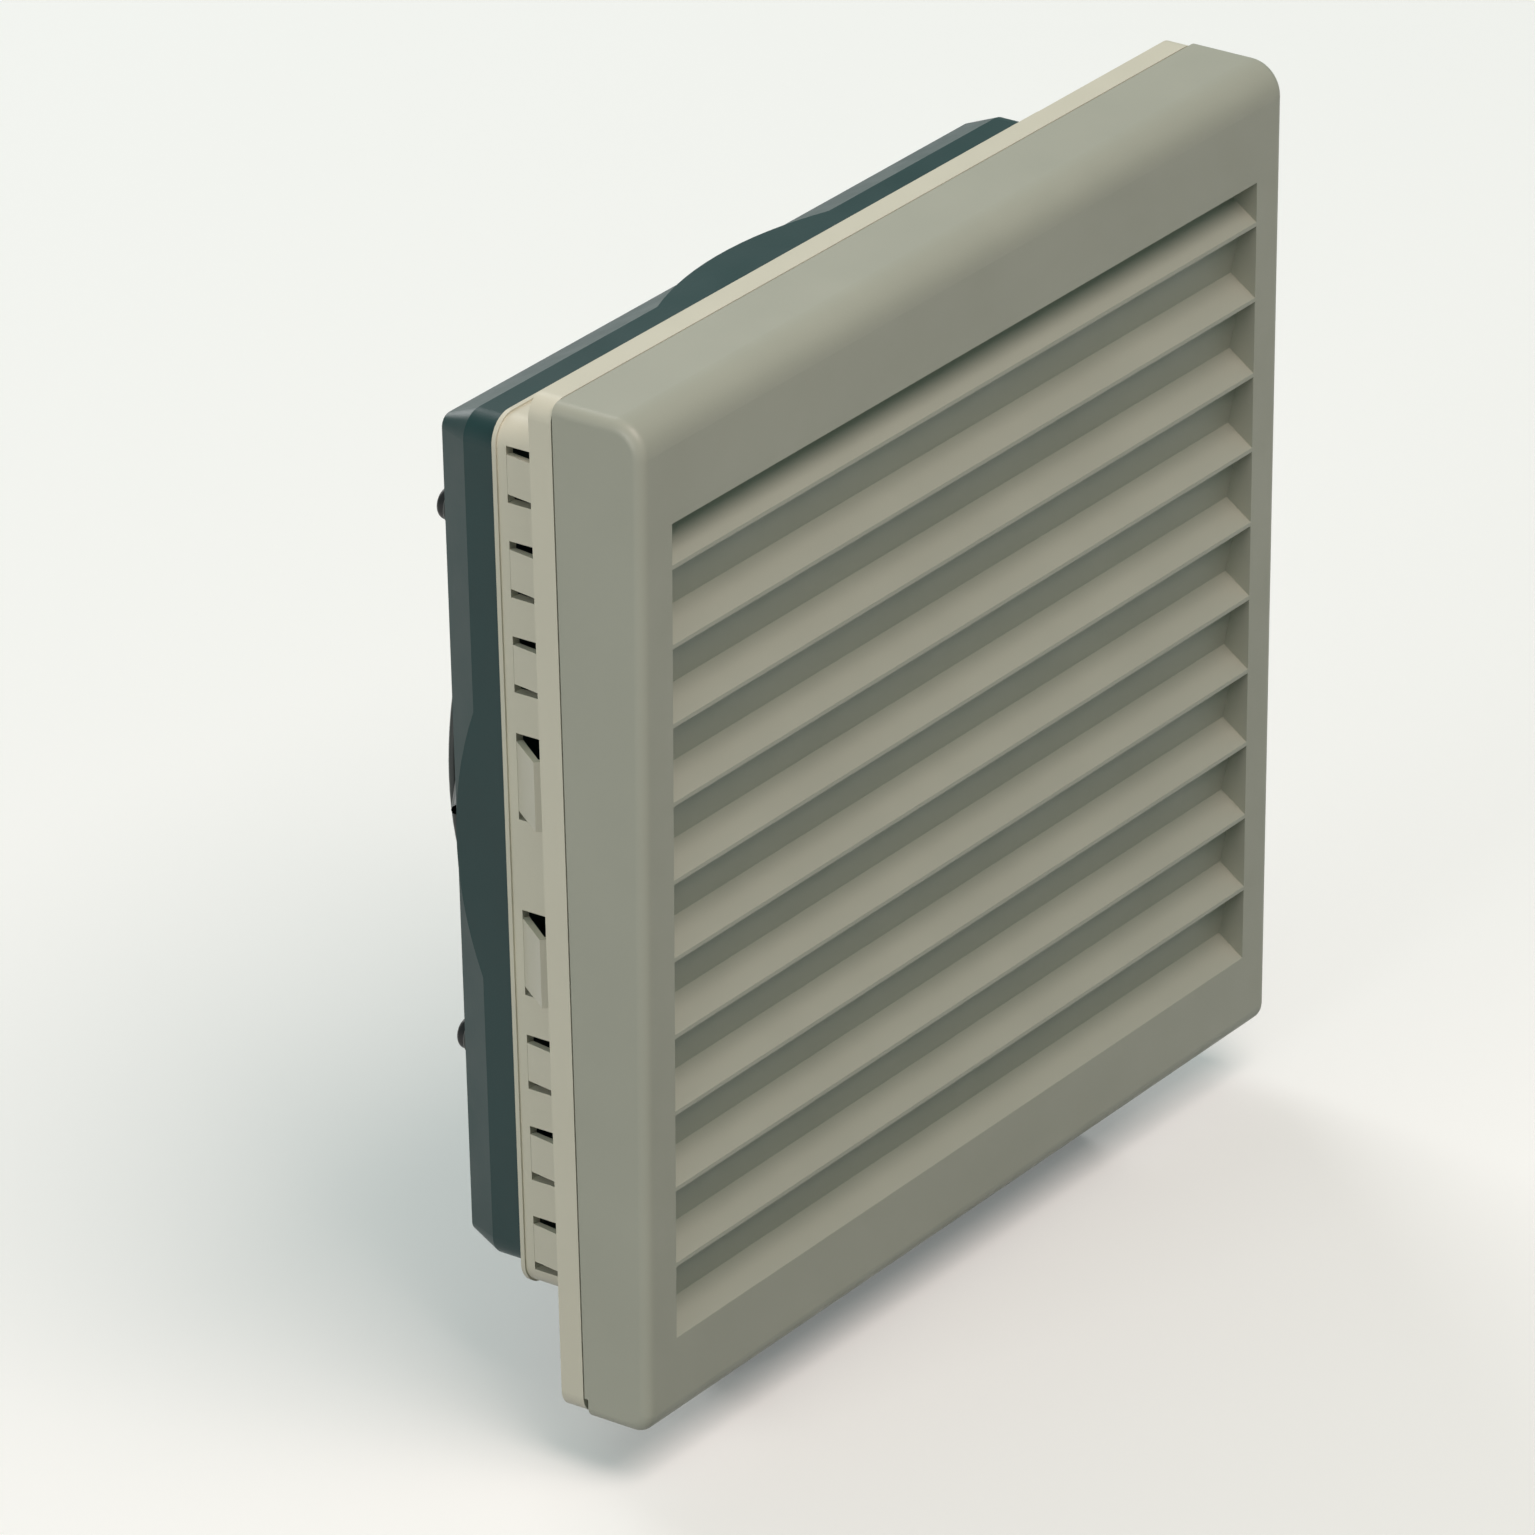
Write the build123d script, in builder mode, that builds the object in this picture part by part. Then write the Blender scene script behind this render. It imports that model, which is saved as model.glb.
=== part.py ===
from build123d import *
from math import atan, cos, degrees, hypot, radians, sin, sqrt
import os

os.makedirs("parts", exist_ok=True)

# Cabinet filter fan. X runs along the slats, +Y goes into the cabinet, +Z is up.
# The origin is the centre of the cutout on the panel's outer face, where the flange seats.
# All sizes are in millimetres.

# Overall and panel
cover_size = 204.0
cutout = 177.0
cutout_play = 0.5
corner_r = 4.0
flange_t = 5.0
face_gap = 0.3
seat_gap = 0.1
# how far forms of one solid run into each other, and how far cutters run past a face
lap = 0.5
beyond = 20.0

# Cover
cover_depth = 17.2
front_lean = 1.5
cover_wall = 2.2
top_round = 6.5
bottom_round = 4.0
side_round = 2.2
side_border = 8.8
top_band = 21.7
bottom_band = 16.8

# Louvre blades
blade_count = 11
blade_t = 1.8
blade_recess = 5.5
blade_lean = 3.6
blade_shelf = 4.4
blade_bend_r = 7.0
lip_half = 0.4
lip_round = 0.35
air_slot = 1.2
first_lip_drop = 8.6
collar_t = 1.8
collar_depth = 8.6

# Hinge at the bottom of the cover
hinge_forward = 7.0
knuckle_r = 2.2
ear_w = 8.0
ear_x = 70.0
pin_r = 1.0
pin_fit = 0.05
pin_grip = 6.0
ear_slot_front = 3.0
ear_slot_margin = 0.5
relief_depth = 0.8
relief_h = 4.0

# Base frame
spigot_wall = 2.0
spigot_depth = 19.1
spigot_r = 5.0
bead_h = 0.4
bead_w = 0.9
rim_h = 6.0
grid_t = 3.0
grid_ring_t = 2.0
grid_rib = 1.6
grid_count = 8
seal_w = 6.0
seal_groove = 1.6
pilot_front_y = 2.0

# Snap tabs: centre height and width of each kind
low_tab_centres = (40.35, 59.25, 78.0)
high_tab_centres = (17.9,)
low_tab_w = 7.8
high_tab_w = 14.0
tab_slot = 1.7
tab_t = 1.2
tab_root_y = 16.1
tab_tip_y = 2.6
tab_peak_y = 8.2
low_tab_h = 1.2
high_tab_h = 5.4
tab_tip_h = 1.0
tab_tip_gap = 0.5
tab_peak_t = 1.44
tab_root_gap = 0.05

# Fan housing
housing_size = 172.0
housing_wall = 5.0
band_depth = 8.3
taper_depth = 6.9
taper_inset = 2.7
plateau_half = 27.0
plateau_rise = 5.0
web_t = 3.0
web_inset = 0.3
duct_r = 75.0
duct_wall = 2.5
duct_front_y = 4.0
duct_proud = 4.5
bell_lip = 1.0
frame_flange_r = 80.6
frame_flange_t = 2.0
spoke_count = 4
spoke_w = 7.0
spoke_t = 4.4
plate_r = 33.0
plate_t = 3.0
rib_t = 1.6
rib_step = 15
rib_shortest = 6.0
rib_drop = 3.0
block_rib = 300
web_grip = 2.0
screw_play = 0.2
lead_hole_r = 3.0
lead_hole_at = 19.0
lead_notch_w = 6.0
wire_notch_w = 17.0
wire_notch_sill = 2.4

# Screws
boss_r = 4.0
boss_x = 76.0
boss_z = 77.0
screw_r = 1.5
screw_head_r = 3.2
screw_head_h = 2.2
screw_round = 1.1
screw_cross_w = 0.8
screw_cross_len = 4.2
screw_cross_depth = 1.3
housing_screw_len = 14.0
guard_screw_len = 12.0
fan_screw_len = 12.0
post_x = 62.5
post_z = 54.5
post_r = 3.6
post_web_w = 5.0

# Motor
hub_r = 33.0
hub_wall = 2.0
hub_front_y = 6.0
hub_depth = 23.0
hub_round = 4.0
ring_t = 2.0
ring_front_y = 9.0
cage_t = 4.2
cage_bars = 24
core_front_y = 13.0
core_depth = 10.0
air_gap = 0.5
pole_count = 6
pole_start = -45
pole_neck_w = 6.0
pole_shoe_t = 3.0
yoke_r = 13.0
coil_end = 2.6
former_t = 1.0
pole_slot = 2.4
pole_trim = 1.0
coil_play = 0.4
coil_tip_play = 1.0
coil_round = 1.6
coil_side_t = 2.3
tube_r = 8.4
tube_bore_r = 6.5
tube_front_y = 9.8
tube_cap = 1.4
tube_lead_in = 0.4
shoulder_h = 1.2
bearing_w = 4.0
bearing_bore_r = 2.5
race_t = 1.0
shield_depth = 0.3
shaft_fit = 0.03
bush_r = 6.0
bush_len = 3.4
bush_wall = 2.0
spring_t = 0.5
spring_play = 0.2
spring_w = 1.4
clip_t = 0.6
clip_w = 1.0
clip_bite = 0.5
clip_mouth = 2.4
end_play = 0.8
shaft_tail = 0.5
shaft_edge = 0.3
cage_over = 1.0
bar_slot_w = 1.2

# Impeller blades
fan_blades = 7
tip_gap = 0.8
root_chord = 25.0
tip_chord = 42.0
root_pitch = 46.0
tip_pitch = 23.0
blade_camber = 3.0
fan_blade_t = 2.0
blade_sink = 1.2
blade_trim = 3.0

# Finger guard
guard_y = 47.5
wire_r = 1.0
ring_lift = 1.5
guard_rings = (10.0, 24.0, 38.0, 51.5, 65.0)
eyelet_r = 4.2
eyelet_play = 0.4
weld_lap = 0.8

# Terminal block
block_x = 60.0
block_z = -74.5
block_w = 20.0
block_h = 13.0
block_depth = 16.0
block_edge = 1.5
pole_spacing = 6.4
well_r = 2.3
well_depth = 5.0
entry_w = 4.6
entry_depth = 5.0
entry_y = 5.5
entry_reach = 7.8
clamp_r = 2.0
clamp_h = 2.4
clamp_slot_w = 0.7
clamp_slot_depth = 1.0

# Earth tab
earth_offset = 4.5
earth_foot = 7.0
earth_blade_w = 6.3
earth_t = 0.8
earth_blade_h = 9.0

# Motor leads
lead_r = 0.8
lead_lift = 0.2
lead_turn_at = 56.5
lead_spacing = 1.1
lead_arc_r = 3.0

# Filter mat
mat_side_gap = 2.0
mat_t = 9.0

# Worked out from the sizes above
half = cover_size / 2
spigot = cutout - 2 * cutout_play
chamber = spigot - 2 * spigot_wall
chamber_r = spigot_r - spigot_wall
cover_rear_y = -flange_t - face_gap
cover_front_y = cover_rear_y - cover_depth
hinge_y = -flange_t - hinge_forward
hinge_z = -half + knuckle_r
band_y = spigot_depth
taper_y = band_y + band_depth
housing_rear_y = taper_y + taper_depth
web_rear_y = spigot_depth + web_t - web_grip
web_front_y = web_rear_y - web_t
duct_rear_y = housing_rear_y + duct_proud
duct_out_r = duct_r + duct_wall
post_rear_y = guard_y - wire_r


def facing(y):
    # A plane across the depth, seen from the front: local x is X and local y is Z.
    # A negative extrusion goes into the cabinet.
    return Plane(origin=(0, y, 0), x_dir=(1, 0, 0), z_dir=(0, -1, 0))


def front_at(z):
    # Depth of the leaning front face at height z.
    return cover_front_y - z * sin(radians(front_lean))


def turned(part, angle):
    # Turns a part about the fan's axis, anticlockwise as seen from the front.
    return part.rotate(Axis.Y, -angle)


# Heights of the lips: the recess runs from the top band to the bottom band.
recess_top = half - top_band
recess_bottom = -half + bottom_band
blade_pitch = (recess_top - recess_bottom - first_lip_drop) / (blade_count - 1)
lip_heights = [recess_bottom + blade_pitch * i for i in range(blade_count)]
recess_half_x = half - side_border

# Louvre cover: wedge shell, deeper at the top, with S-shaped blades between its borders.
with BuildPart() as louvre_cover:
    with BuildSketch(Plane.YZ.offset(-half)):
        with BuildLine():
            Polyline(
                (cover_rear_y, -half),
                (front_at(-half), -half),
                (front_at(half), half),
                (cover_rear_y, half),
                close=True,
            )
        make_face()
    extrude(amount=cover_size)
    top_edge = louvre_cover.edges().filter_by(Axis.X).group_by(Axis.Z)[-1].sort_by(Axis.Y)[0]
    fillet(top_edge, top_round)
    low_edge = louvre_cover.edges().filter_by(Axis.X).group_by(Axis.Z)[0].sort_by(Axis.Y)[0]
    fillet(low_edge, bottom_round)
    side_edges = []
    for side_face in louvre_cover.faces().filter_by(Axis.X):
        side_edges += [e for e in side_face.edges() if e.center().Y < cover_rear_y - lap]
    fillet(side_edges, side_round)
    # hollow from the rear, following the front face and its rounded top
    with BuildSketch(Plane.YZ.offset(-half + cover_wall)):
        with BuildLine():
            FilletPolyline(
                (cover_rear_y, -half + cover_wall),
                (front_at(-half) + cover_wall, -half + cover_wall),
                (front_at(half) + cover_wall, half - cover_wall),
                (cover_rear_y, half - cover_wall),
                radius=bottom_round - cover_wall,
                close=False,
            )
            Line((cover_rear_y, half - cover_wall), (cover_rear_y, -half + cover_wall))
        make_face()
    extrude(amount=cover_size - 2 * cover_wall, mode=Mode.SUBTRACT)
    # collar that carries the blade ends
    with BuildSketch(Plane.YZ.offset(-recess_half_x - collar_t)):
        with BuildLine():
            Polyline(
                (front_at(recess_bottom) + lap, recess_bottom - collar_t),
                (front_at(recess_bottom) + collar_depth, recess_bottom - collar_t),
                (front_at(recess_top) + collar_depth, recess_top + collar_t),
                (front_at(recess_top) + lap, recess_top + collar_t),
                close=True,
            )
        make_face()
    extrude(amount=2 * (recess_half_x + collar_t))
    with BuildSketch(facing(cover_front_y - beyond)):
        with Locations((0, (recess_top + recess_bottom) / 2)):
            Rectangle(2 * recess_half_x, recess_top - recess_bottom)
    extrude(amount=-(beyond + cover_depth), mode=Mode.SUBTRACT)
    # one blade for each lip: riser, bend and shelf out to the lip
    for lip_z in lip_heights:
        front_y = front_at(lip_z)
        riser_top = min(lip_z + blade_pitch - lip_half - air_slot, recess_top)
        bend_z = lip_z + blade_shelf
        riser_y = front_y + blade_recess
        lean = blade_lean * (riser_top - bend_z) / blade_pitch
        with BuildSketch(Plane.YZ.offset(-recess_half_x - lap)) as blade_profile:
            with BuildLine():
                Polyline(
                    (riser_y - lean, riser_top),
                    (riser_y, bend_z),
                    (front_y, lip_z + lip_half),
                    (front_y, lip_z - lip_half),
                    (front_y + blade_t, lip_z - lip_half),
                    (riser_y + blade_t, bend_z - blade_t / 2),
                    (riser_y - lean + blade_t, riser_top),
                    close=True,
                )
            make_face()
            bends = [v for v in blade_profile.vertices() if abs(v.Z - bend_z) < seat_gap]
            fillet(bends, min(blade_bend_r, riser_top - bend_z - lap))
            lips = [v for v in blade_profile.vertices() if abs(v.Y - front_y) < seat_gap]
            fillet(lips, lip_round)
        extrude(amount=2 * (recess_half_x + lap))
    # hinge knuckles at both ends of each ear
    for side in (-1, 1):
        ear_gap = ear_w + 2 * face_gap
        with BuildSketch(Plane.YZ.offset(side * ear_x - ear_gap / 2 - pin_grip)):
            with Locations((hinge_y, hinge_z)):
                Circle(knuckle_r)
        extrude(amount=ear_gap + 2 * pin_grip)
        slot_front_y = hinge_y - ear_slot_front
        slot_h = 2 * (knuckle_r + ear_slot_margin)
        with Locations((side * ear_x, (slot_front_y + cover_rear_y) / 2, hinge_z)):
            Box(ear_gap, cover_rear_y - slot_front_y, slot_h, mode=Mode.SUBTRACT)
        with BuildSketch(Plane.YZ.offset(side * ear_x - ear_gap / 2 - pin_grip)):
            with Locations((hinge_y, hinge_z)):
                Circle(pin_r)
        extrude(amount=ear_gap + 2 * pin_grip, mode=Mode.SUBTRACT)
    # relief so that the bottom rear edge clears the flange as the cover swings
    with Locations((0, cover_rear_y, -half)):
        Box(cover_size + beyond, 2 * relief_depth, 2 * relief_h, mode=Mode.SUBTRACT)

louvre_cover.part.label = "louvre_cover"
export_step(louvre_cover.part, "parts/louvre_cover.step")

# Hinge pins, pressed into the cover's knuckles and running in the ears.
with BuildPart() as hinge_pins:
    for side in (-1, 1):
        pin_len = ear_w + 2 * face_gap + 2 * pin_grip
        with BuildSketch(Plane.YZ.offset(side * ear_x - pin_len / 2)):
            with Locations((hinge_y, hinge_z)):
                Circle(pin_r)
        extrude(amount=pin_len)

hinge_pins.part.label = "hinge_pins"
export_step(hinge_pins.part, "parts/hinge_pins.step")

# Base frame: flange, spigot through the cutout, mat rim, screw bosses and hinge ears.
tabs = [(z, low_tab_w, low_tab_h) for z in low_tab_centres]
tabs += [(z, high_tab_w, high_tab_h) for z in high_tab_centres]
tabs += [(-z, width, height) for z, width, height in tabs]
seal_size = (cover_size + spigot) / 2
boss_front_y = -grid_t + grid_ring_t + seat_gap

with BuildPart() as base_frame:
    with BuildSketch(facing(-flange_t)):
        RectangleRounded(cover_size, cover_size, corner_r)
        RectangleRounded(chamber, chamber, chamber_r, mode=Mode.SUBTRACT)
    extrude(amount=-flange_t)
    with BuildSketch(facing(-flange_t - rim_h)):
        RectangleRounded(spigot, spigot, spigot_r)
        RectangleRounded(chamber, chamber, chamber_r, mode=Mode.SUBTRACT)
    extrude(amount=-(rim_h + flange_t + spigot_depth))
    with BuildSketch(facing(spigot_depth - bead_w)):
        RectangleRounded(spigot + 2 * bead_h, spigot + 2 * bead_h, spigot_r + bead_h)
        RectangleRounded(chamber, chamber, chamber_r, mode=Mode.SUBTRACT)
    extrude(amount=-bead_w)
    # groove for the seal
    with BuildSketch(facing(-seal_groove)):
        RectangleRounded(seal_size + seal_w, seal_size + seal_w, spigot_r)
        RectangleRounded(seal_size - seal_w, seal_size - seal_w, spigot_r, mode=Mode.SUBTRACT)
    extrude(amount=-seal_groove, mode=Mode.SUBTRACT)
    # bosses for the housing screws
    for sx in (-1, 1):
        for sz in (-1, 1):
            with BuildSketch(facing(boss_front_y)):
                with Locations((sx * boss_x, sz * boss_z)):
                    Circle(boss_r)
                with Locations((sx * boss_x, sz * (boss_z + chamber / 2) / 2)):
                    Rectangle(2 * (boss_r - 2 * lap), chamber / 2 - boss_z + 2 * lap)
            extrude(amount=-(web_front_y - seat_gap - boss_front_y))
            with BuildSketch(facing(pilot_front_y)):
                with Locations((sx * boss_x, sz * boss_z)):
                    Circle(screw_r)
            extrude(amount=-web_rear_y, mode=Mode.SUBTRACT)
    # windows for the snap tabs
    for side in (-1, 1):
        for tab_z, tab_w, tab_h in tabs:
            window_x = side * (chamber / 2 + spigot_wall / 2)
            window_front = tab_tip_y - tab_tip_gap
            window_rear = tab_root_y + tab_root_gap
            with Locations((window_x, (window_front + window_rear) / 2, tab_z)):
                Box(2 * spigot_wall, window_rear - window_front, tab_w + 2 * tab_slot, mode=Mode.SUBTRACT)
    # hinge ears
    for side in (-1, 1):
        with BuildSketch(Plane.YZ.offset(side * ear_x - ear_w / 2)):
            with Locations((hinge_y, hinge_z)):
                Circle(knuckle_r)
            with Locations(((hinge_y - flange_t + lap) / 2, hinge_z)):
                Rectangle(hinge_forward + lap, 2 * knuckle_r)
        extrude(amount=ear_w)
        with BuildSketch(Plane.YZ.offset(side * ear_x - ear_w / 2)):
            with Locations((hinge_y, hinge_z)):
                Circle(pin_r + pin_fit)
        extrude(amount=ear_w, mode=Mode.SUBTRACT)

base_frame.part.label = "base_frame"
export_step(base_frame.part, "parts/base_frame.step")

# Grid that the mat lies on: its ring rests on the screw bosses inside the rim.
grid_size = chamber - 2 * face_gap
grid_inner = grid_size - 2 * grid_rib
grid_pitch = (grid_size - grid_rib) / grid_count
with BuildPart() as mat_grid:
    with BuildSketch(facing(-grid_t)):
        with GridLocations(grid_pitch, 0, grid_count - 1, 1):
            Rectangle(grid_rib, grid_inner)
        with GridLocations(0, grid_pitch, 1, grid_count - 1):
            Rectangle(grid_inner, grid_rib)
    extrude(amount=-grid_t)
    with BuildSketch(facing(-grid_t)):
        RectangleRounded(grid_size, grid_size, chamber_r)
        RectangleRounded(grid_inner, grid_inner, chamber_r - grid_rib, mode=Mode.SUBTRACT)
    extrude(amount=-grid_ring_t)

mat_grid.part.label = "mat_grid"
export_step(mat_grid.part, "parts/mat_grid.step")

# Foam seal in its groove, standing out to the panel.
with BuildPart() as panel_seal:
    with BuildSketch(facing(-seal_groove)):
        RectangleRounded(seal_size + seal_w, seal_size + seal_w, spigot_r)
        RectangleRounded(seal_size - seal_w, seal_size - seal_w, spigot_r, mode=Mode.SUBTRACT)
    extrude(amount=-seal_groove)

panel_seal.part.label = "panel_seal"
export_step(panel_seal.part, "parts/panel_seal.step")

# Snap tabs: bent tongues with a flush root that turns in the window's rear end.
tab_pivot_x = spigot / 2 - tab_t / 2
tab_pivot_y = tab_root_y - tab_t / 2


def tab_outline(height):
    root = (spigot / 2, tab_root_y)
    peak = (spigot / 2 + height, tab_peak_y)
    tip = (spigot / 2 + min(height, tab_tip_h), tab_tip_y)
    inner_tip = (tip[0] - tab_t, tab_tip_y)
    inner_peak = (peak[0] - tab_peak_t, tab_peak_y)
    inner_root = (tab_pivot_x - tab_t / 2, tab_pivot_y)
    root_end = (tab_pivot_x, tab_root_y)
    return root, peak, tip, inner_tip, inner_peak, inner_root, root_end


def make_tabs(side):
    with BuildPart() as row:
        for tab_z, tab_w, tab_h in tabs:
            with BuildSketch(Plane.XY.offset(tab_z - tab_w / 2)):
                with BuildLine():
                    Polyline(*[(side * x, y) for x, y in tab_outline(tab_h)], close=True)
                make_face()
            extrude(amount=tab_w)
    return row.part


left_snap_tabs = make_tabs(-1)
left_snap_tabs.label = "left_snap_tabs"
export_step(left_snap_tabs, "parts/left_snap_tabs.step")
right_snap_tabs = make_tabs(1)
right_snap_tabs.label = "right_snap_tabs"
export_step(right_snap_tabs, "parts/right_snap_tabs.step")

# Fan housing: square band with a tapered rear step, and a web that carries the fan frame.
housing_half = housing_size / 2
taper_angle = degrees(atan(taper_inset / taper_depth))
plateau_r = (plateau_half**2 + plateau_rise**2) / (2 * plateau_rise)
cavity = housing_size - 2 * housing_wall
web_hole_r = duct_out_r + bell_lip + face_gap
rib_start_r = frame_flange_r + face_gap

with BuildPart() as fan_housing:
    with BuildSketch(facing(band_y)):
        RectangleRounded(housing_size, housing_size, spigot_r)
    extrude(amount=-band_depth)
    with BuildSketch(Plane(origin=(0, taper_y, 0), x_dir=(1, 0, 0), z_dir=(0, 1, 0))):
        RectangleRounded(housing_size, housing_size, spigot_r)
    extrude(amount=taper_depth, taper=taper_angle)
    # flat plateaus that carry the middle of each side out over the taper
    plateau_centre = taper_y + plateau_rise - plateau_r
    for plane in (Plane.YZ, Plane.YX):
        with BuildSketch(plane.offset(-housing_half)):
            with Locations((plateau_centre, 0)):
                Circle(plateau_r)
            with Locations((taper_y - plateau_r, 0)):
                Rectangle(2 * plateau_r, 4 * plateau_r, mode=Mode.SUBTRACT)
        extrude(amount=housing_size)
    with BuildSketch(facing(web_rear_y)):
        RectangleRounded(cavity, cavity, spigot_r)
    extrude(amount=-(housing_rear_y - web_rear_y + lap), mode=Mode.SUBTRACT)
    # notch in the lower wall for the supply wires
    notch_y = web_rear_y + wire_notch_sill
    notch_depth = housing_rear_y + lap - notch_y
    with Locations((block_x, notch_y + notch_depth / 2, -(cavity + housing_size) / 4)):
        Box(wire_notch_w, notch_depth, housing_size - cavity, mode=Mode.SUBTRACT)
    # web with the hole that the duct passes through
    with BuildSketch(facing(web_front_y)):
        RectangleRounded(chamber - 2 * web_inset, chamber - 2 * web_inset, chamber_r)
    extrude(amount=-web_t)
    with BuildSketch(facing(web_front_y)):
        Circle(web_hole_r)
    extrude(amount=-web_t, mode=Mode.SUBTRACT)
    # ribs in the corners, except where the terminal block stands
    for angle in range(0, 360, rib_step):
        if angle % 90 == 45 or angle == block_rib:
            continue
        reach = cavity / 2 / max(abs(cos(radians(angle))), abs(sin(radians(angle))))
        rib_len = reach - rib_start_r + lap
        if rib_len < rib_shortest:
            continue
        with BuildSketch(facing(web_rear_y)):
            with Locations(Location((0, 0, 0), (0, 0, angle))):
                with Locations((rib_start_r + rib_len / 2, 0)):
                    Rectangle(rib_len, rib_t)
        extrude(amount=-(housing_rear_y - web_rear_y - rib_drop))
    # holes for the housing screws and the fan screws
    for sx in (-1, 1):
        for sz in (-1, 1):
            with BuildSketch(facing(web_front_y)):
                with Locations((sx * boss_x, sz * boss_z), (sx * post_x, sz * post_z)):
                    Circle(screw_r + screw_play)
            extrude(amount=-web_t, mode=Mode.SUBTRACT)

fan_housing.part.label = "fan_housing"
export_step(fan_housing.part, "parts/fan_housing.step")

# Fan frame: the duct with its flange, the spokes, the motor plate and the guard's posts.
with BuildPart() as fan_frame:
    flange_front_y = web_rear_y + seat_gap
    flange_rear_y = flange_front_y + frame_flange_t
    with BuildSketch(Plane.XY):
        with BuildLine():
            Polyline(
                (duct_r, duct_front_y + bell_lip),
                (duct_r, duct_rear_y),
                (duct_out_r, duct_rear_y),
                (duct_out_r, flange_rear_y),
                (frame_flange_r, flange_rear_y),
                (frame_flange_r, flange_front_y),
                (duct_out_r, flange_front_y),
                (duct_out_r, duct_front_y + bell_lip + duct_wall),
                (duct_out_r + bell_lip, duct_front_y + duct_wall / 2),
                (duct_out_r + bell_lip, duct_front_y),
                (duct_r + bell_lip, duct_front_y),
                close=True,
            )
        make_face()
    revolve(axis=Axis.Y)
    # posts for the guard, tied to the duct's outer wall
    post_at = hypot(post_x, post_z)
    for sx in (-1, 1):
        for sz in (-1, 1):
            post_angle = degrees(atan(post_z / post_x)) * sx * sz + (180 if sx < 0 else 0)
            with BuildSketch(facing(flange_front_y)):
                with Locations((sx * post_x, sz * post_z)):
                    Circle(post_r)
            extrude(amount=-(post_rear_y - flange_front_y))
            with BuildSketch(facing(flange_front_y)):
                with Locations(Location((0, 0, 0), (0, 0, post_angle))):
                    with Locations(((duct_out_r - lap + post_at) / 2, 0)):
                        Rectangle(post_at - duct_out_r + lap, post_web_w)
            extrude(amount=-(duct_rear_y - flange_front_y))
            with BuildSketch(facing(flange_front_y)):
                with Locations((sx * post_x, sz * post_z)):
                    Circle(screw_r)
            extrude(amount=-(post_rear_y - flange_front_y), mode=Mode.SUBTRACT)
    # motor plate and spokes
    with BuildSketch(facing(housing_rear_y - plate_t)):
        Circle(plate_r)
    extrude(amount=-plate_t)
    with BuildSketch(facing(housing_rear_y - spoke_t)):
        for i in range(spoke_count):
            with Locations(Location((0, 0, 0), (0, 0, 45 + 360 / spoke_count * i))):
                with Locations(((plate_r + duct_r) / 2, 0)):
                    Rectangle(duct_r - plate_r + duct_wall, spoke_w)
    extrude(amount=-spoke_t)
    with BuildSketch(facing(housing_rear_y - spoke_t)):
        Circle(tube_r)
    extrude(amount=-spoke_t, mode=Mode.SUBTRACT)
    # passage for the leads through the motor plate and the duct's rear edge
    lead_dir = radians(pole_start)
    with BuildSketch(facing(housing_rear_y - spoke_t)):
        with Locations((lead_hole_at * cos(lead_dir), lead_hole_at * sin(lead_dir))):
            Circle(lead_hole_r)
    extrude(amount=-spoke_t, mode=Mode.SUBTRACT)
    with BuildSketch(facing(housing_rear_y)):
        with Locations(Location((0, 0, 0), (0, 0, pole_start))):
            with Locations((duct_r + duct_wall / 2, 0)):
                Rectangle(duct_wall + 4 * lap, lead_notch_w)
    extrude(amount=-duct_proud, mode=Mode.SUBTRACT)

fan_frame.part.label = "fan_frame"
export_step(fan_frame.part, "parts/fan_frame.step")


def pan_screw(x, z, head_y, length):
    # A screw driven from the rear, with its head seated at head_y.
    with BuildPart() as screw:
        with BuildSketch(facing(head_y - length)):
            with Locations((x, z)):
                Circle(screw_r)
        extrude(amount=-length)
        with BuildSketch(facing(head_y)):
            with Locations((x, z)):
                Circle(screw_head_r)
        extrude(amount=-screw_head_h)
        rim = screw.edges().filter_by(GeomType.CIRCLE).sort_by(Axis.Y)[-1]
        fillet(rim, screw_round)
        with BuildSketch(facing(head_y + screw_head_h - screw_cross_depth)):
            with Locations((x, z)):
                Rectangle(screw_cross_len, screw_cross_w)
                Rectangle(screw_cross_w, screw_cross_len)
        extrude(amount=-screw_head_h, mode=Mode.SUBTRACT)
    return screw.part


def write_group(name, solids):
    group = Compound(children=solids)
    group.label = name
    export_step(group, f"parts/{name}.step")


corners = [(-1, -1), (-1, 1), (1, -1), (1, 1)]
write_group(
    "housing_screws",
    [pan_screw(sx * boss_x, sz * boss_z, web_rear_y, housing_screw_len) for sx, sz in corners],
)
write_group(
    "guard_screws",
    [pan_screw(sx * post_x, sz * post_z, guard_y + wire_r, guard_screw_len) for sx, sz in corners],
)
# the fan screws go in from the front, through the web into the posts
fan_screw = pan_screw(0, 0, 0, fan_screw_len).rotate(Axis.X, 180)
fan_screw_y = web_front_y - seat_gap
fan_screw_places = [Location((sx * post_x, fan_screw_y, sz * post_z)) for sx, sz in corners]
write_group("fan_screws", [fan_screw.moved(place) for place in fan_screw_places])

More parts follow.
